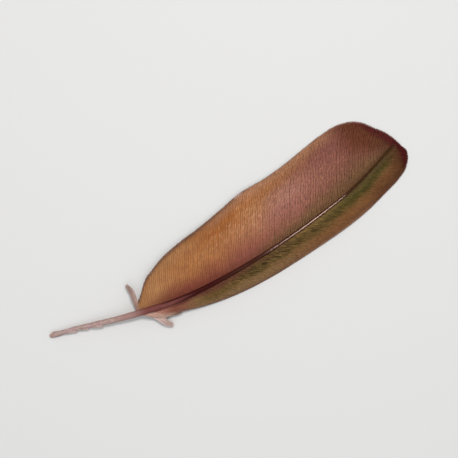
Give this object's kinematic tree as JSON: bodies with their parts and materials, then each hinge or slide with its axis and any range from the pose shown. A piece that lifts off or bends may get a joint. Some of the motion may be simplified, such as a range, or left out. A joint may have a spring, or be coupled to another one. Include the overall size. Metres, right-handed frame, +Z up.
{
  "type": "turkey wing feather",
  "caption": "Bronze-brown wing covert feather with a bare quill, a curved shaft, a wide and a narrow vane, and two downy tufts, lying flat.",
  "frame": {"origin": "on the surface that the feather lies on, under the middle of its bounding box", "axes": "+X along the feather from the quill's end to the vane's tip, +Y towards the wide inner vane, +Z up out of the glossy upper side"},
  "size_m": [0.1298, 0.0346, 0.0057],
  "materials": {
    "vane": "satin copper-brown barbs with a bronze-green and rose sheen",
    "shaft": "smooth glossy keratin, pale pinkish lilac at the quill and dark maroon towards the tip",
    "down": "matt pale pink downy barbs",
    "sheath": "dry whitish flakes of growth sheath"
  },
  "bodies": {
    "root": {"feather": "vane"}
  },
  "joints": []
}
